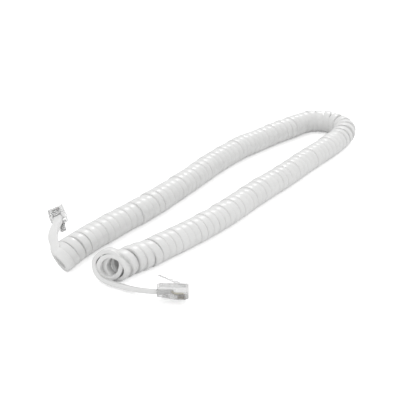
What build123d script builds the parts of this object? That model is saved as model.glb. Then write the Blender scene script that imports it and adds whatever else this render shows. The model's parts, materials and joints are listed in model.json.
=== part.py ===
"""A coiled handset cord: a flat four-wire cord wound into a springy coil, with a small
four-contact plug on each end, folded once and lying on a table.

Frame, in millimetres: +Z up from the table, +X along the coil's two arms towards the fold,
origin on the table under the middle of the whole cord.
"""

import os
from math import cos, radians, sin, tan

from build123d import *

os.makedirs("parts", exist_ok=True)

# ------------------------------------------------------------------ driving dimensions

# The cord and its coil.
coil_diameter = 13.0
cord_width = 4.2
cord_thickness = 2.0
wire_diameter = 0.9
wire_pitch = 1.02

# The plug's moulded body. Its height is measured at the nose, and its underside rises
# towards the cord.
plug_width = 7.65
plug_length = 12.3
plug_height = 6.6
cord_height = 3.0
underside_rise = 1.1
underside_slope_length = 7.6
nose_wall = 1.0
body_edge = 0.25

# What the body holds.
fit = 0.15
jacket_outside = 2.0
jacket_inside = 6.0
wire_step_length = 1.0
contact_thickness = 0.35
contact_length = 2.8
contact_setback = 0.9
contact_recess = 0.25
contact_clearance = 0.05
contact_tine = 0.6
wire_bar_length = 0.8
wire_bar_gap = 0.45
wire_bar_recess = 1.0
wedge_start = 2.2
wedge_length = 2.6
wedge_recess = 0.3

# The latch, its hinge and the channel that it lies in.
latch_width = 3.2
latch_tab_width = 2.6
latch_length = 12.0
latch_shoulder = 6.2
latch_thickness = 0.9
latch_tab_thickness = 0.55
latch_angle = 22.0
latch_side_gap = 0.25
root_radius = 0.5
root_gap = 0.15
root_setback = 1.3
pin_radius = 0.3
pin_reach = 0.45
pin_clearance = 0.05
channel_floor_wall = 0.85
nose_bridge = 0.4
nose_bridge_drop = 0.3

# ------------------------------------------------------------------ routes

# The coil's middle line, from the end that plug b hangs on, round the fold, to plug a's.
coil_route = [
    (-113.3, 12.0),
    (-101.0, 14.1),
    (-79.0, 13.9),
    (-51.0, 11.5),
    (-21.0, 11.9),
    (11.0, 13.9),
    (43.0, 13.9),
    (69.0, 9.1),
    (89.0, 4.5),
    (105.0, 1.9),
    (111.8, -6.6),
    (111.4, -17.6),
    (104.0, -25.7),
    (90.0, -28.1),
    (72.0, -28.3),
    (49.0, -27.1),
    (21.0, -26.9),
    (-7.0, -25.1),
    (-33.0, -25.1),
    (-55.0, -23.1),
    (-75.4, -19.3),
    (-93.0, -16.5),
    (-106.1, -12.5),
]

# The two uncoiled ends, from beside the coil to the plug. Each starts flat against the
# coil's last turn, at the bottom of it for a and at the top for b.
tail_a_route = [
    (-110.2, -19.0, 1.0),
    (-111.5, -26.1, 1.9),
    (-111.2, -31.7, 3.2),
    (-109.5, -36.1, 3.9),
]
tail_b_route = [
    (-116.3, 17.5, 12.0),
    (-110.6, 22.6, 12.2),
    (-103.1, 25.6, 11.7),
    (-96.1, 29.0, 10.8),
    (-90.2, 33.1, 9.4),
    (-84.35, 38.35, 7.75),
]


def corner_radii(points):
    """The largest arcs that the runs of a route allow, one for each of its corners."""
    radii = []
    for before, corner, after in zip(points, points[1:], points[2:]):
        run_in = Vector(*corner) - Vector(*before)
        run_out = Vector(*after) - Vector(*corner)
        half_turn = radians(run_in.get_angle(run_out)) / 2
        radii.append(0.45 * min(run_in.length, run_out.length) / tan(half_turn))
    return radii


def report_route(name, points, section_area, volume):
    """Prints a route's tightest arc, and its volume against section times length."""
    radii = corner_radii(points)
    print(name, "radii", [round(radius, 1) for radius in radii])
    print(name, "volume over section times length", round(volume / section_area, 3))


# ------------------------------------------------------------------ coil

coil_points = [(x, y, coil_diameter / 2) for x, y in coil_route]

with BuildPart() as coil_jacket:
    with BuildLine() as coil_line:
        FilletPolyline(*coil_points, radius=corner_radii(coil_points))
    with BuildSketch(Plane(coil_line.line @ 0, z_dir=coil_line.line % 0)) as coil_section:
        Circle(coil_diameter / 2)
        Circle(coil_diameter / 2 - cord_thickness, mode=Mode.SUBTRACT)
    sweep(path=coil_line.line)
coil_jacket.part.label = "coil_jacket"
export_step(coil_jacket.part, "parts/coil_jacket.step")
report_route(
    "coil",
    coil_points,
    coil_section.sketch.area * coil_line.wires()[0].length,
    coil_jacket.part.volume,
)

# ------------------------------------------------------------------ uncoiled ends


def beside_coil(face_point, inner_point, height):
    """Where an uncoiled end starts: half its width beyond the coil's end face."""
    outward = (Vector(*face_point) - Vector(*inner_point)).normalized()
    start = Vector(*face_point) + outward * cord_width / 2
    return (start.X, start.Y, height)


tail_a_start = beside_coil(coil_route[-1], coil_route[-2], cord_thickness / 2)
tail_b_start = beside_coil(coil_route[0], coil_route[1], coil_diameter - cord_thickness / 2)
tails = {
    "a": [tail_a_start] + tail_a_route,
    "b": [tail_b_start] + tail_b_route,
}

for end, points in tails.items():
    with BuildPart() as tail:
        with BuildLine() as tail_line:
            FilletPolyline(*points, radius=corner_radii(points))
        along = tail_line.line % 0
        across = along.cross(Vector(0, 0, 1))
        with BuildSketch(Plane(tail_line.line @ 0, x_dir=across, z_dir=along)) as tail_section:
            SlotOverall(cord_width, cord_thickness)
        sweep(path=tail_line.line)
    tail.part.label = f"tail_{end}"
    export_step(tail.part, f"parts/tail_{end}.step")
    report_route(
        f"tail_{end}",
        points,
        tail_section.sketch.area * tail_line.wires()[0].length,
        tail.part.volume,
    )

# ------------------------------------------------------------------ plug

# Each plug is modelled once, in its own frame: origin at the middle of the cord where the
# uncoiled end stops, +Y towards the nose, +Z towards the latch.

rear = jacket_outside
nose = rear + plug_length
underside = -cord_height
top = plug_height - cord_height
slope_end = rear + underside_slope_length

jacket_end = rear + jacket_inside
wire_room_start = jacket_end + wire_step_length
wire_level = -(cord_thickness - wire_diameter) / 2
wire_end = nose - nose_wall - fit
wire_offsets = [(index - 1.5) * wire_pitch for index in range(4)]
wire_room_width = 3 * wire_pitch + wire_diameter + 2 * fit

contact_front = nose - contact_setback
contact_rear = contact_front - contact_length
contact_foot = underside + contact_recess

bar_front = contact_rear - wire_bar_gap
bar_rear = bar_front - wire_bar_length
bar_foot = underside + wire_bar_recess
bar_top = wire_level - wire_diameter / 2

wedge_rear = rear + wedge_start
wedge_front = wedge_rear + wedge_length
wedge_width = cord_width + 2 * fit

channel_floor = cord_thickness / 2 + fit + channel_floor_wall
channel_width = latch_width + 2 * latch_side_gap
root_y = nose - root_setback
root_z = channel_floor + root_gap + root_radius


def underside_at(y):
    """Height of the body's underside, which rises from the slope's end to the cord."""
    return underside + underside_rise * max(0.0, slope_end - y) / underside_slope_length


# Jacket: the last of the flat cord, gripped in the body.
with BuildPart() as jacket:
    with BuildSketch(Plane.XZ):
        SlotOverall(cord_width, cord_thickness)
    extrude(amount=-jacket_end)

# Wire: steps down out of the jacket, then runs straight under its contact.
wire_path = [
    (0, jacket_end, 0),
    (0, jacket_end + 0.3 * wire_step_length, 0),
    (0, wire_room_start, wire_level),
    (0, wire_end, wire_level),
]
with BuildPart() as wire:
    with BuildLine() as wire_line:
        FilletPolyline(*wire_path, radius=corner_radii(wire_path))
    with BuildSketch(Plane(wire_line.line @ 0, z_dir=wire_line.line % 0)):
        Circle(wire_diameter / 2)
    sweep(path=wire_line.line)

# Contact: a blade with a rounded front corner and two tines that pierce the wire.
blade_back = wire_level - wire_diameter
with BuildPart() as contact:
    with BuildSketch(Plane.YZ):
        with BuildLine():
            Polyline(
                (contact_rear, contact_foot),
                (contact_front, contact_foot),
                (contact_front, wire_level),
                (contact_front - contact_tine, blade_back),
                (contact_rear + contact_tine, blade_back),
                (contact_rear, wire_level),
                close=True,
            )
        make_face()
    extrude(amount=contact_thickness / 2, both=True)
    foot_corner = contact.edges().filter_by(Axis.X).group_by(Axis.Z)[0].sort_by(Axis.Y)[-1]
    fillet(foot_corner, contact_recess * 2)

# Wire bar: pressed up on all four wires behind the contacts.
with BuildPart() as wire_bar:
    with BuildSketch(Plane.XY.offset(bar_foot)):
        with Locations((0, (bar_front + bar_rear) / 2)):
            Rectangle(wire_room_width, wire_bar_length)
    extrude(amount=bar_top - bar_foot)

# Wedge: the strain relief, pressed up on the jacket near the cord entry.
with BuildPart() as wedge:
    with BuildSketch(Plane.YZ):
        with BuildLine():
            Polyline(
                (wedge_rear, underside_at(wedge_rear) + wedge_recess),
                (wedge_front, underside_at(wedge_front) + wedge_recess),
                (wedge_front, -cord_thickness / 2),
                (wedge_rear, -cord_thickness / 2),
                close=True,
            )
        make_face()
    extrude(amount=wedge_width / 2, both=True)

# Body: one clear moulding with a room for the jacket, a lower room for the wires, a slot
# for each contact, windows for the wedge and the wire bar, and the latch's channel.
room_height = cord_thickness + 2 * fit
wire_room_floor = bar_top - contact_clearance
wire_room_height = wire_diameter + 2 * contact_clearance
slot_width = contact_thickness + 2 * contact_clearance
slot_rear = contact_rear - contact_clearance

with BuildPart() as body:
    with BuildSketch(Plane.YZ):
        with BuildLine():
            Polyline(
                (rear, underside_at(rear)),
                (slope_end, underside),
                (nose, underside),
                (nose, top),
                (rear, top),
                close=True,
            )
        make_face()
    extrude(amount=plug_width / 2, both=True)
    chamfer(body.faces().sort_by(Axis.Y)[-1].edges(), body_edge)
    fillet(body.edges().filter_by(Axis.Y).group_by(Axis.Z)[-1], body_edge)

    # Room for the jacket, flared where the cord goes in.
    with BuildSketch(Plane.XZ.offset(-rear)):
        Rectangle(cord_width + 2 * fit, room_height)
    extrude(amount=-(wire_room_start - rear), mode=Mode.SUBTRACT)
    entry = body.faces().sort_by(Axis.Y)[0].inner_wires()[0].edges()
    chamfer(entry, 2 * fit)

    # Room for the wires.
    with BuildSketch(Plane.XY.offset(wire_room_floor)):
        with Locations((0, (wire_room_start + wire_end + fit) / 2)):
            Rectangle(wire_room_width, wire_end + fit - wire_room_start)
    extrude(amount=wire_room_height, mode=Mode.SUBTRACT)

    # Slots for the contacts, open below and, at the foot, through the nose.
    slot_front = contact_front + contact_clearance
    with BuildSketch(Plane.XY.offset(underside)):
        with Locations(*[(x, (slot_rear + slot_front) / 2) for x in wire_offsets]):
            Rectangle(slot_width, slot_front - slot_rear)
    extrude(amount=wire_level - underside, mode=Mode.SUBTRACT)
    with BuildSketch(Plane.XY.offset(underside)):
        with Locations(*[(x, (slot_rear + nose) / 2) for x in wire_offsets]):
            Rectangle(slot_width, nose - slot_rear)
    extrude(amount=contact_setback, mode=Mode.SUBTRACT)

    # Windows for the wire bar and the wedge.
    with BuildSketch(Plane.XY.offset(underside)):
        with Locations((0, (bar_front + bar_rear) / 2)):
            Rectangle(wire_room_width, wire_bar_length)
    extrude(amount=wire_room_floor - underside, mode=Mode.SUBTRACT)
    with BuildSketch(Plane.XY.offset(underside)):
        with Locations((0, (wedge_rear + wedge_front) / 2)):
            Rectangle(wedge_width, wedge_length)
    extrude(amount=-room_height / 2 - underside, mode=Mode.SUBTRACT)

    # Channel for the latch, with a low bridge left across the nose.
    with BuildSketch(Plane.XY.offset(channel_floor)):
        with Locations((0, (rear + nose) / 2)):
            Rectangle(channel_width, plug_length)
    extrude(amount=top - channel_floor - nose_bridge_drop, mode=Mode.SUBTRACT)
    with BuildSketch(Plane.XY.offset(channel_floor)):
        with Locations((0, (rear + nose) / 2)):
            Rectangle(channel_width, plug_length)
    extrude(amount=top - channel_floor, mode=Mode.SUBTRACT)
    bridge_top = top - nose_bridge_drop - body_edge
    with BuildSketch(Plane.XY.offset(channel_floor)):
        with Locations((0, nose - body_edge - nose_bridge / 2)):
            Rectangle(channel_width, nose_bridge)
    extrude(amount=bridge_top - channel_floor)

    # Holes in the channel's sides for the latch's pins.
    pin_hole_depth = pin_reach + pin_clearance
    with BuildSketch(Plane.YZ):
        with Locations((root_y, root_z)):
            Circle(pin_radius + pin_clearance)
    extrude(amount=channel_width / 2 + pin_hole_depth, both=True, mode=Mode.SUBTRACT)

# Latch: a springy arm from its root near the nose, back and up over the cord, with a
# shoulder that catches in a socket and a thinner, narrower tab to press.
rise = radians(latch_angle)
latch_side = Plane(
    origin=(0, root_y, root_z),
    x_dir=(0, -cos(rise), sin(rise)),
    z_dir=(-1, 0, 0),
)
arm_bottom = root_radius - latch_thickness
with BuildPart() as latch:
    with BuildSketch(latch_side):
        Circle(root_radius)
        with Locations((latch_shoulder / 2, root_radius - latch_thickness / 2)):
            Rectangle(latch_shoulder, latch_thickness)
    extrude(amount=latch_width / 2, both=True)
    with BuildSketch(latch_side):
        with Locations((latch_length / 2, arm_bottom + latch_tab_thickness / 2)):
            SlotOverall(latch_length, latch_tab_thickness)
    extrude(amount=latch_tab_width / 2, both=True)
    with BuildSketch(latch_side):
        Circle(pin_radius)
    extrude(amount=channel_width / 2 + pin_reach, both=True)

# ------------------------------------------------------------------ plugs in place


def plug_seat(stop, heading, pitch, roll):
    """The plug's frame where its cord stops, in degrees: its nose's heading from +X, its
    pitch up, and its roll about the nose, which leans the latch right if positive."""
    turn, lift, lean = radians(heading), radians(pitch), radians(roll)
    nose_way = Vector(cos(lift) * cos(turn), cos(lift) * sin(turn), sin(lift))
    right = Vector(sin(turn), -cos(turn), 0)
    latch_way = right.cross(nose_way) * cos(lean) + right * sin(lean)
    return Plane(origin=stop, x_dir=nose_way.cross(latch_way), z_dir=latch_way)


seats = {
    "a": plug_seat(tail_a_route[-1], -66.0, 4.0, -27.0),
    "b": plug_seat(tail_b_route[-1], 42.3, -12.6, 160.0),
}

for end, seat in seats.items():
    pieces = {
        f"plug_body_{end}": body.part,
        f"latch_{end}": latch.part,
        f"jacket_{end}": jacket.part,
        f"wedge_{end}": wedge.part,
        f"wire_bar_{end}": wire_bar.part,
    }
    for number, x in enumerate(wire_offsets, start=1):
        pieces[f"wire_{end}_{number}"] = Pos(x, 0, 0) * wire.part
        pieces[f"contact_{end}_{number}"] = Pos(x, 0, 0) * contact.part
    for name, piece in pieces.items():
        placed = seat.location * piece
        placed.label = name
        export_step(placed, f"parts/{name}.step")
    hinge = seat.from_local_coords(Vector(0, root_y, root_z))
    nose_middle = seat.from_local_coords(Vector(0, nose, (top + underside) / 2))
    print("plug", end, "hinge", hinge, "axis", seat.x_dir)
    print("plug", end, "nose", nose_middle, "outward", seat.y_dir, "latch side", seat.z_dir)
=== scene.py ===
"""A coiled handset cord with a clear plug on each end, folded once on a table."""

import json
from math import cos, pi, radians, sin
from random import Random

import bpy
from mathutils import Matrix, Vector


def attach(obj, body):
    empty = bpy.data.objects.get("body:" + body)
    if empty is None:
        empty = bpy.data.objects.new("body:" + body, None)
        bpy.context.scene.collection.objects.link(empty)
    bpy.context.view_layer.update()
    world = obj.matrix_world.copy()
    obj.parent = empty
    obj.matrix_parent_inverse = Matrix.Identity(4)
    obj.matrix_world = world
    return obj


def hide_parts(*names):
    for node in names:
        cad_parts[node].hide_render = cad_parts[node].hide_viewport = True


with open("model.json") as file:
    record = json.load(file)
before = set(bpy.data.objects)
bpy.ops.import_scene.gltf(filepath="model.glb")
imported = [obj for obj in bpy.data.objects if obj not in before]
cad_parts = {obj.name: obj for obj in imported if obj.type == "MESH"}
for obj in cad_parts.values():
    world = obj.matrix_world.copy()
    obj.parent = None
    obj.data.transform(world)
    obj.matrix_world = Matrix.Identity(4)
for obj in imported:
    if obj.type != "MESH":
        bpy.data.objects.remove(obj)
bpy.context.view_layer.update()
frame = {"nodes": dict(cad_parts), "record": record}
nodes = frame["nodes"]

MM = 0.001
UP = Vector((0, 0, 1))

# ------------------------------------------------------------------ sizes, in millimetres

cord_width = 4.2
cord_thickness = 2.0
cord_corner = 0.36
cord_crown = 0.06
coil_radius = 5.5

# The coil's middle line and the two uncoiled ends, near those of the design.
coil_route = [
    (-113.3, 12.0),
    (-101.0, 14.1),
    (-79.0, 13.9),
    (-51.0, 11.5),
    (-21.0, 11.9),
    (11.0, 13.9),
    (43.0, 13.9),
    (69.0, 9.1),
    (89.0, 4.5),
    (104.4, 1.7),
    (110.0, -6.8),
    (109.8, -17.4),
    (103.4, -25.3),
    (90.0, -28.1),
    (72.0, -28.3),
    (49.0, -27.1),
    (21.0, -26.9),
    (-7.0, -25.1),
    (-33.0, -25.1),
    (-55.0, -23.1),
    (-75.4, -19.3),
    (-93.0, -16.5),
    (-106.1, -12.5),
]
tail_a_route = [
    (-110.9, -18.6, 1.9),
    (-110.4, -24.4, 1.95),
    (-110.0, -30.2, 2.8),
    (-109.5, -36.1, 3.9),
]
tail_b_route = [
    (-112.4, 15.0, 12.4),
    (-109.2, 19.4, 12.6),
    (-103.1, 24.6, 12.0),
    (-96.1, 29.4, 10.9),
    (-90.2, 33.1, 9.4),
    (-84.35, 38.35, 7.75),
]

# How each plug lies, in degrees: heading from +X, pitch up and roll to the right.
plug_lie = {"a": (-66.0, 4.0, -27.0), "b": (42.3, -12.6, 160.0)}
jacket_length = 8.0

# How far the turns stray from an even coil, and how high the coil is kept off the table.
# Towards the coil's ends the straying dies away over calm_turns.
crowd_by, sway_by, lift_by, swell_by = 0.07, 0.22, 0.05, 0.12
lean_by = 0.9
rest_height = 0.18
calm_turns = 6

# The loosened turns at each end of the coil, counted from the end. Each row gives turns
# from the end, distance of the turn's middle in from the end, its shift to the side,
# radius, height of the middle, and the degrees that the turn is swung round and raised
# from square to the coil.
end_a_turns = [
    (0.00, -2.0, -1.0, 7.0, 8.1, 45, 27),
    (0.12, -1.4, 1.0, 7.0, 8.0, 42, 22),
    (0.25, -0.4, 2.3, 7.0, 7.6, 34, 14),
    (0.37, -0.1, 2.0, 6.9, 6.9, 33, 10),
    (0.50, 0.1, 1.9, 6.9, 6.7, 32, 8),
    (0.62, -0.3, 2.0, 6.0, 6.6, 36, 12),
    (0.75, -0.6, 2.0, 5.0, 6.5, 40, 12),
    (1.00, -1.2, 2.0, 5.0, 6.5, 40, 12),
    (1.25, -0.6, 2.0, 4.9, 6.5, 39, 12),
    (1.50, 0.0, 1.6, 4.9, 6.7, 35, 12),
    (1.75, 1.0, -0.4, 5.5, 6.6, 27, 8),
    (2.00, 2.0, -0.2, 5.5, 6.5, 26, 6),
    (2.25, 1.9, 0.0, 5.5, 6.5, 25, 4),
    (2.50, 4.1, 0.3, 5.6, 6.6, 22, 2),
    (2.75, 5.7, 0.5, 5.6, 6.6, 20, 0),
    (3.00, 6.7, 0.5, 5.6, 6.6, 20, 0),
    (3.25, 6.2, 0.5, 5.6, 6.6, 19, 0),
    (3.50, 10.2, 0.5, 5.6, 6.6, 16, 0),
    (3.75, 10.8, 0.5, 5.6, 6.6, 13, 0),
    (4.00, 11.2, 0.5, 5.6, 6.6, 13, 0),
    (4.25, 11.5, 0.4, 5.6, 6.6, 13, 0),
    (4.50, 14.4, 0.3, 5.5, 6.5, 10, 0),
    (4.75, 15.4, 0.2, 5.5, 6.5, 8, 0),
    (5.25, 16.2, 0.0, 5.5, 6.5, 6, 0),
    (5.75, 20.3, 0.0, 5.5, 6.5, 2, 0),
    (6.25, 21.9, 0.0, 5.5, 6.5, 0, 0),
    (6.75, 24.8, 0.0, 5.5, 6.5, 0, 0),
]
end_b_turns = [
    (0.00, -0.6, 0.0, 5.6, 6.7, -28, 20),
    (0.25, 1.6, 0.0, 5.6, 6.7, -28, 20),
    (0.50, 2.1, 0.0, 5.6, 6.7, -28, 20),
    (0.75, 1.9, 0.0, 5.6, 6.7, -28, 20),
    (1.00, 3.7, 0.0, 5.6, 6.7, -25, 18),
    (1.25, 5.6, 0.0, 5.6, 6.7, -22, 15),
    (1.50, 6.4, 0.0, 5.6, 6.7, -18, 12),
    (1.75, 6.6, 0.0, 5.6, 6.7, -16, 10),
    (2.00, 8.1, 0.0, 5.6, 6.7, -13, 8),
    (2.50, 11.0, 0.0, 5.5, 6.6, -8, 5),
    (3.00, 13.4, 0.0, 5.5, 6.5, -4, 2),
    (4.00, 18.0, 0.0, 5.5, 6.5, 0, 0),
]

# ------------------------------------------------------------------ lines


def smooth_line(points, steps):
    """Points along the smooth spline that has these control points, in millimetres."""
    curve = bpy.data.curves.new("line", "CURVE")
    curve.dimensions = "3D"
    curve.resolution_u = steps
    spline = curve.splines.new("NURBS")
    spline.points.add(len(points) - 1)
    for knot, point in zip(spline.points, points):
        knot.co = (*point, 1)
    spline.order_u = 3
    spline.use_endpoint_u = True
    holder = bpy.data.objects.new("line", curve)
    mesh = bpy.data.meshes.new_from_object(holder)
    line = [vertex.co.copy() for vertex in mesh.vertices]
    bpy.data.objects.remove(holder)
    bpy.data.curves.remove(curve)
    bpy.data.meshes.remove(mesh)
    return line


class Track:
    """A line that can be asked for its place and direction at any distance along it."""

    def __init__(self, points):
        self.points = points
        self.marks = [0.0]
        for before, after in zip(points, points[1:]):
            self.marks.append(self.marks[-1] + (after - before).length)
        self.length = self.marks[-1]
        self.index = 0

    def at(self, distance):
        last = len(self.points) - 2
        index = min(self.index, last)
        while index > 0 and self.marks[index] > distance:
            index -= 1
        while index < last and self.marks[index + 1] < distance:
            index += 1
        self.index = index
        run = self.points[index + 1] - self.points[index]
        share = (distance - self.marks[index]) / run.length
        return self.points[index] + run * share

    def beyond(self, distance):
        """The place at this distance, or straight on where that is past an end."""
        inside = max(0.0, min(distance, self.length))
        return self.at(inside) + self.way(inside) * (distance - inside)

    def way(self, distance, reach=3.0):
        low = max(0.0, min(distance - reach, self.length - 2 * reach))
        return (self.at(low + 2 * reach) - self.at(low)).normalized()


def eased(rows, turn):
    """The row of values at this many turns, with an even change from row to row."""
    for before, after in zip(rows, rows[1:]):
        if turn <= after[0]:
            share = max(0.0, (turn - before[0]) / (after[0] - before[0]))
            return [a + (b - a) * share for a, b in zip(before[1:], after[1:])]
    return list(rows[-1][1:])


class Wobble:
    """A small unevenness that changes smoothly from turn to turn."""

    def __init__(self, random, count):
        self.values = [random.uniform(-1, 1) for _ in range(count)]

    def at(self, turn):
        low = int(turn) % len(self.values)
        high = (low + 1) % len(self.values)
        share = (1 - cos(pi * (turn - int(turn)))) / 2
        return self.values[low] * (1 - share) + self.values[high] * share


# ------------------------------------------------------------------ the cord's path

middle_steps = 16
middle = Track(smooth_line([(x, y, 0) for x, y in coil_route], middle_steps))
steps_per_turn = 16
spline_steps = 3
closed_pitch = 4.22
fold_pitch = 6.1
fold_start, fold_end = 218.0, 272.0


def pitch_at(distance):
    """Spacing of the turns: closed along the arms, opened where the coil folds."""
    if fold_start < distance < fold_end:
        share = (distance - fold_start) / (fold_end - fold_start)
        opening = sin(pi * share) ** 0.7
        return closed_pitch + (fold_pitch - closed_pitch) * opening
    return closed_pitch


def turn_places():
    """Where each whole turn's middle lies along the coil, from plug b's end to a's."""
    start = end_b_turns[-1][1]
    stop = middle.length - end_a_turns[-1][1]
    distance, count = start, 0.0
    while distance < stop:
        distance += pitch_at(distance) / steps_per_turn
        count += 1 / steps_per_turn
    ends = end_b_turns[-1][0] + end_a_turns[-1][0]
    whole = round(count + ends - 0.5) + 0.5
    stretch = count / (whole - ends)
    places = [start]
    distance = start
    wanted = int(round((whole - ends) * steps_per_turn))
    for _ in range(wanted):
        distance += pitch_at(distance) * stretch / steps_per_turn
        places.append(distance)
    slip = (stop - places[-1]) / len(places)
    return [place + slip * number for number, place in enumerate(places)], whole


places, turns = turn_places()
random = Random(11)
swell, sway, lift, lean_side, lean_up, crowd = [Wobble(random, int(turns) + 2) for _ in range(6)]


def turn_values(turn):
    """Distance along the coil, shift, radius, height of the middle, swing and rise."""
    from_a = turns - turn
    if turn < end_b_turns[-1][0]:
        return eased(end_b_turns, turn)
    if from_a < end_a_turns[-1][0]:
        inward, *rest = eased(end_a_turns, from_a)
        return middle.length - inward, *rest
    place = (turn - end_b_turns[-1][0]) * steps_per_turn
    low = min(int(place), len(places) - 2)
    distance = places[low] + (places[low + 1] - places[low]) * (place - low)
    radius = coil_radius + swell_by * swell.at(turn)
    return distance, 0.0, radius, radius + cord_thickness / 2, 0.0, 0.0


def coil_knots():
    """Control points of the wound cord, with its outward side at each."""
    knots, outward = [], []
    count = int(round(turns * steps_per_turn))
    for number in range(count + 1):
        turn = number / steps_per_turn
        distance, aside, radius, height, swing, rise = turn_values(turn)
        calm = min(1.0, min(turn, turns - turn) / calm_turns)
        distance += crowd_by * crowd.at(turn) * calm
        way = middle.way(distance)
        beside = way.cross(UP).normalized()
        swing += lean_by * lean_side.at(turn) * calm
        rise += lean_by * lean_up.at(turn) * calm
        axis = Matrix.Rotation(radians(swing), 3, UP) @ way
        side = axis.cross(UP).normalized()
        axis = Matrix.Rotation(radians(rise), 3, side) @ axis
        first = (UP - axis * UP.dot(axis)).normalized()
        second = axis.cross(first)
        centre = middle.beyond(distance)
        centre = Vector((centre.x, centre.y, height)) + beside * aside
        centre += side * sway_by * sway.at(turn) * calm
        centre += UP * (rest_height + lift_by * lift.at(turn) * calm)
        angle = 2 * pi * turn
        out = first * cos(angle) + second * sin(angle)
        knots.append(centre + out * radius / cos(pi / steps_per_turn))
        outward.append(out)
    return knots, outward


def plug_axes(end):
    """Nose, right and latch directions of a plug that lies as plug_lie says."""
    heading, pitch, roll = [radians(angle) for angle in plug_lie[end]]
    nose = Vector((cos(pitch) * cos(heading), cos(pitch) * sin(heading), sin(pitch)))
    right = Vector((sin(heading), -cos(heading), 0))
    latch = right.cross(nose) * cos(roll) + right * sin(roll)
    return nose, nose.cross(latch), latch


def tail_knots(route, end, coil_side):
    """Control points of an uncoiled end, out to the jacket's end in its plug."""
    nose, _, latch = plug_axes(end)
    knots = [Vector(point) for point in route]
    stop = knots[-1]
    knots += [stop + nose * jacket_length * share for share in (0.35, 0.7, 1.0)]
    flat = []
    for number in range(len(knots)):
        share = min(1.0, (number + 1) / len(route))
        flat.append(coil_side.lerp(-latch, share).normalized())
    return knots, flat


coil_points, coil_out = coil_knots()
tail_a, tail_a_flat = tail_knots(tail_a_route, "a", coil_out[-1])
tail_b, tail_b_flat = tail_knots(tail_b_route, "b", coil_out[0])
cord_points = tail_b[::-1] + coil_points + tail_a
cord_sides = tail_b_flat[::-1] + coil_out + tail_a_flat
cord_line = smooth_line(cord_points, spline_steps)
side_line = smooth_line([p + s for p, s in zip(cord_points, cord_sides)], spline_steps)

# ------------------------------------------------------------------ the cord's mesh


def cord_section():
    """Outline of the flat cord: round corners and slightly crowned faces."""
    half_width, half_thickness = cord_width / 2, cord_thickness / 2
    outline = []
    for number, (across, out) in enumerate([(1, 1), (-1, 1), (-1, -1), (1, -1)]):
        for share in (0.0, 0.5, 1.0):
            angle = (number + share) * pi / 2
            outline.append(
                (
                    across * (half_width - cord_corner) + cord_corner * cos(angle),
                    out * (half_thickness - cord_corner) + cord_corner * sin(angle),
                )
            )
        if number % 2 == 0:
            outline.append((0.0, out * (half_thickness + cord_crown)))
    return outline


def sweep_cord(line, sides):
    """A closed mesh of the flat cord along a line, its UV running along and around."""
    section = cord_section()
    size = len(section)
    vertices, marks = [], [0.0]
    for number, place in enumerate(line):
        before = line[max(number - 1, 0)]
        after = line[min(number + 1, len(line) - 1)]
        way = (after - before).normalized()
        out = sides[number] - place
        out = (out - way * out.dot(way)).normalized()
        across = way.cross(out)
        vertices += [(place + across * x + out * y) * MM for x, y in section]
        if number:
            marks.append(marks[-1] + (place - line[number - 1]).length * MM)
    faces = []
    for ring in range(len(line) - 1):
        for corner in range(size):
            next_corner = (corner + 1) % size
            a, b = ring * size, (ring + 1) * size
            faces.append((a + corner, b + corner, b + next_corner, a + next_corner))
    faces.append(tuple(range(size)))
    faces.append(tuple(reversed(range(len(vertices) - size, len(vertices)))))
    mesh = bpy.data.meshes.new("cord")
    mesh.from_pydata(vertices, [], faces)
    layer = mesh.uv_layers.new(name="along")
    for face in mesh.polygons[: len(faces) - 2]:
        ring = face.index // size
        corner = face.index % size
        corners = [(ring, corner), (ring + 1, corner), (ring + 1, corner + 1), (ring, corner + 1)]
        for loop, (station, around) in zip(face.loop_indices, corners):
            layer.data[loop].uv = (marks[station], around / size)
    for face in mesh.polygons:
        face.use_smooth = True
    piece = bpy.data.objects.new("cord", mesh)
    bpy.context.scene.collection.objects.link(piece)
    return piece, marks[-1]


cord, cord_length = sweep_cord(cord_line, side_line)
print("cord length", round(cord_length, 3), "turns", turns, "coil", round(middle.length, 1))

# ------------------------------------------------------------------ materials


def new_material(name):
    material = bpy.data.materials.new(name)
    material.use_nodes = True
    tree = material.node_tree
    return material, tree, tree.nodes["Principled BSDF"]


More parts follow.
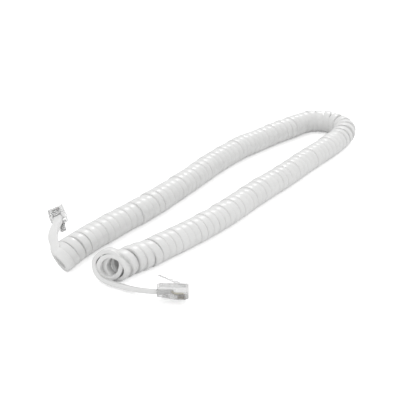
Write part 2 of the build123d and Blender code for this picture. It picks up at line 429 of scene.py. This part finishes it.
def moulding_group():
    """Fine unevenness of a finished surface: its height, roughness and colour."""
    group = bpy.data.node_groups.new("moulded_skin", "ShaderNodeTree")
    face = group.interface
    face.new_socket("Vector", in_out="INPUT", socket_type="NodeSocketVector")
    face.new_socket("Scale", in_out="INPUT", socket_type="NodeSocketFloat")
    face.new_socket("Gloss", in_out="INPUT", socket_type="NodeSocketFloat")
    face.new_socket("Spread", in_out="INPUT", socket_type="NodeSocketFloat")
    face.new_socket("Colour", in_out="INPUT", socket_type="NodeSocketColor")
    face.new_socket("Change", in_out="INPUT", socket_type="NodeSocketFloat")
    face.new_socket("Height", in_out="OUTPUT", socket_type="NodeSocketFloat")
    face.new_socket("Roughness", in_out="OUTPUT", socket_type="NodeSocketFloat")
    face.new_socket("Colour", in_out="OUTPUT", socket_type="NodeSocketColor")
    start = group.nodes.new("NodeGroupInput")
    end = group.nodes.new("NodeGroupOutput")
    grain = group.nodes.new("ShaderNodeTexNoise")
    grain.inputs["Detail"].default_value = 3.0
    cloud = group.nodes.new("ShaderNodeTexNoise")
    cloud.inputs["Detail"].default_value = 2.0
    coarse = group.nodes.new("ShaderNodeMath")
    coarse.operation = "MULTIPLY"
    coarse.inputs[1].default_value = 0.12
    spread = group.nodes.new("ShaderNodeMath")
    spread.operation = "MULTIPLY"
    rough = group.nodes.new("ShaderNodeMath")
    rough.operation = "ADD"
    about_zero = group.nodes.new("ShaderNodeMath")
    about_zero.operation = "SUBTRACT"
    about_zero.inputs[1].default_value = 0.5
    about_one = group.nodes.new("ShaderNodeMath")
    about_one.operation = "MULTIPLY_ADD"
    about_one.inputs[2].default_value = 1.0
    shade = group.nodes.new("ShaderNodeHueSaturation")
    link = group.links.new
    link(start.outputs["Vector"], grain.inputs["Vector"])
    link(start.outputs["Scale"], grain.inputs["Scale"])
    link(start.outputs["Vector"], cloud.inputs["Vector"])
    link(start.outputs["Scale"], coarse.inputs[0])
    link(coarse.outputs[0], cloud.inputs["Scale"])
    link(cloud.outputs["Fac"], spread.inputs[0])
    link(start.outputs["Spread"], spread.inputs[1])
    link(spread.outputs[0], rough.inputs[0])
    link(start.outputs["Gloss"], rough.inputs[1])
    link(cloud.outputs["Fac"], about_zero.inputs[0])
    link(about_zero.outputs[0], about_one.inputs[0])
    link(start.outputs["Change"], about_one.inputs[1])
    link(about_one.outputs[0], shade.inputs["Value"])
    link(start.outputs["Colour"], shade.inputs["Color"])
    link(shade.outputs["Color"], end.inputs["Colour"])
    link(grain.outputs["Fac"], end.inputs["Height"])
    link(rough.outputs[0], end.inputs["Roughness"])
    return group


moulded_skin = moulding_group()


def add_skin(tree, shader, colour, change, scale, gloss, spread, depth):
    """Puts the skin on a material: colour, roughness, and a bump of that depth."""
    place = tree.nodes.new("ShaderNodeTexCoord")
    skin = tree.nodes.new("ShaderNodeGroup")
    skin.node_tree = moulded_skin
    skin.inputs["Scale"].default_value = scale
    skin.inputs["Gloss"].default_value = gloss
    skin.inputs["Spread"].default_value = spread
    skin.inputs["Colour"].default_value = (*colour, 1)
    skin.inputs["Change"].default_value = change
    bump = tree.nodes.new("ShaderNodeBump")
    bump.inputs["Distance"].default_value = depth
    bump.inputs["Strength"].default_value = 1.0
    tree.links.new(place.outputs["Object"], skin.inputs["Vector"])
    tree.links.new(skin.outputs["Height"], bump.inputs["Height"])
    tree.links.new(skin.outputs["Roughness"], shader.inputs["Roughness"])
    tree.links.new(skin.outputs["Colour"], shader.inputs["Base Color"])
    tree.links.new(bump.outputs["Normal"], shader.inputs["Normal"])
    return bump


def white_cord_material():
    """Glossy soft vinyl, with faint drawing lines that run along the cord."""
    material, tree, shader = new_material("white_vinyl")
    shader.inputs["Specular IOR Level"].default_value = 0.5
    shader.inputs["Coat Weight"].default_value = 0.15
    shader.inputs["Coat Roughness"].default_value = 0.12
    bump = add_skin(tree, shader, (0.745, 0.745, 0.74), 0.1, 900.0, 0.26, 0.12, 0.00001)
    along = tree.nodes.new("ShaderNodeUVMap")
    along.uv_map = "along"
    stretch = tree.nodes.new("ShaderNodeMapping")
    stretch.inputs["Scale"].default_value = (20.0, 60.0, 1.0)
    lines = tree.nodes.new("ShaderNodeTexNoise")
    lines.inputs["Scale"].default_value = 1.0
    drawn = tree.nodes.new("ShaderNodeBump")
    drawn.inputs["Distance"].default_value = 0.00001
    tree.links.new(along.outputs["UV"], stretch.inputs["Vector"])
    tree.links.new(stretch.outputs["Vector"], lines.inputs["Vector"])
    tree.links.new(lines.outputs["Fac"], drawn.inputs["Height"])
    tree.links.new(drawn.outputs["Normal"], bump.inputs["Normal"])
    return material


def clear_plug_material():
    """Clear moulded plastic."""
    material, tree, shader = new_material("clear_plastic")
    shader.inputs["Transmission Weight"].default_value = 0.86
    shader.inputs["IOR"].default_value = 1.38
    add_skin(tree, shader, (0.93, 0.93, 0.93), 0.04, 700.0, 0.10, 0.06, 0.000001)
    return material


def gold_with_painted_shade_material():
    """Thin gold plate on a stamped blade, its colour darkened far below gold's as painted shade
    for the plug's shadowed contact slots.
    """
    material, tree, shader = new_material("gold_with_painted_shade")
    shader.inputs["Metallic"].default_value = 1.0
    # The near-black colour is painted shade: it stands for the shadow in the contact slots, not
    # the plate's own colour.
    add_skin(tree, shader, (0.16, 0.13, 0.085), 0.15, 3000.0, 0.26, 0.15, 0.000003)
    return material


def wire_material(name, colour):
    """Insulation of one of the four wires."""
    material, tree, shader = new_material(name)
    add_skin(tree, shader, colour, 0.12, 1500.0, 0.3, 0.15, 0.000006)
    return material


white_vinyl = white_cord_material()
clear_plastic = clear_plug_material()
gold_with_painted_shade = gold_with_painted_shade_material()
wire_finishes = {
    "wire_black": wire_material("black_insulation", (0.02, 0.02, 0.02)),
    "wire_red": wire_material("red_insulation", (0.55, 0.03, 0.03)),
    "wire_green": wire_material("green_insulation", (0.03, 0.28, 0.08)),
    "wire_yellow": wire_material("yellow_insulation", (0.58, 0.53, 0.38)),
}
finishes = {
    "cord_white": white_vinyl,
    "plug_clear": clear_plastic,
    "contact_gold": gold_with_painted_shade,
    **wire_finishes,
}
for subpart in frame["record"]["subparts"]:
    piece = nodes[subpart["node"]]
    piece.data.materials.clear()
    piece.data.materials.append(finishes[subpart["material_slot"]])
cord.data.materials.append(white_vinyl)

# ------------------------------------------------------------------ the cord's place

covered = ["coil_jacket", "tail_a", "tail_b", "jacket_a", "jacket_b"]
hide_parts(*covered)
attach(cord, "root")

# ------------------------------------------------------------------ floor, light, camera

bpy.ops.object.select_all(action="DESELECT")
bpy.ops.mesh.primitive_plane_add(size=8, location=(0, 0, 0))
floor = bpy.context.object
floor.name = "floor"
floor_white, floor_tree, floor_shader = new_material("white_floor")
floor_shader.inputs["Base Color"].default_value = (0.9, 0.9, 0.9, 1)
floor_shader.inputs["Roughness"].default_value = 0.8
floor_shader.inputs["Emission Color"].default_value = (1, 1, 1, 1)
seen = floor_tree.nodes.new("ShaderNodeLightPath")
lift_white = floor_tree.nodes.new("ShaderNodeMath")
lift_white.operation = "MULTIPLY"
lift_white.inputs[1].default_value = 0.5
floor_tree.links.new(seen.outputs["Is Camera Ray"], lift_white.inputs[0])
floor_tree.links.new(lift_white.outputs[0], floor_shader.inputs["Emission Strength"])
floor.data.materials.append(floor_white)

# The studio lights evenly all round, and looks white past the floor's edge.
world = bpy.data.worlds.new("studio")
world.use_nodes = True
sky_tree = world.node_tree
sky_tree.nodes["Background"].inputs["Color"].default_value = (1, 1, 1, 1)
sky_seen = sky_tree.nodes.new("ShaderNodeLightPath")
sky_white = sky_tree.nodes.new("ShaderNodeMath")
sky_white.operation = "MULTIPLY_ADD"
sky_white.inputs[1].default_value = 0.3
sky_white.inputs[2].default_value = 0.83
sky_tree.links.new(sky_seen.outputs["Is Camera Ray"], sky_white.inputs[0])
sky_tree.links.new(sky_white.outputs[0], sky_tree.nodes["Background"].inputs["Strength"])
bpy.context.scene.world = world


def soft_light(name, place, target, size, power):
    """A square soft box that faces its target."""
    lamp = bpy.data.lights.new(name, "AREA")
    lamp.size = size
    lamp.energy = power
    holder = bpy.data.objects.new(name, lamp)
    holder.location = place
    holder.rotation_euler = (Vector(target) - Vector(place)).to_track_quat("-Z", "Y").to_euler()
    bpy.context.scene.collection.objects.link(holder)


soft_light("key_light", (0.72, 0.22, 0.8), (0, 0, 0), 0.3, 2.3)
soft_light("top_light", (-0.3, 0.1, 1.1), (0, 0, 0), 0.6, 1.3)
soft_light("front_light", (-0.55, -0.4, 0.45), (-0.1, -0.02, 0), 0.4, 0.55)

camera = bpy.data.cameras.new("camera")
camera.lens = 84.15
camera.sensor_width = 36.0
camera_holder = bpy.data.objects.new("camera", camera)
camera_holder.location = (-0.3845, -0.2378, 0.2052)
looks_down, looks_right = 25, 57
camera_holder.rotation_euler = (radians(90 - looks_down), 0, radians(-looks_right))
bpy.context.scene.collection.objects.link(camera_holder)
bpy.context.scene.camera = camera_holder
bpy.context.scene.view_settings.view_transform = "Standard"
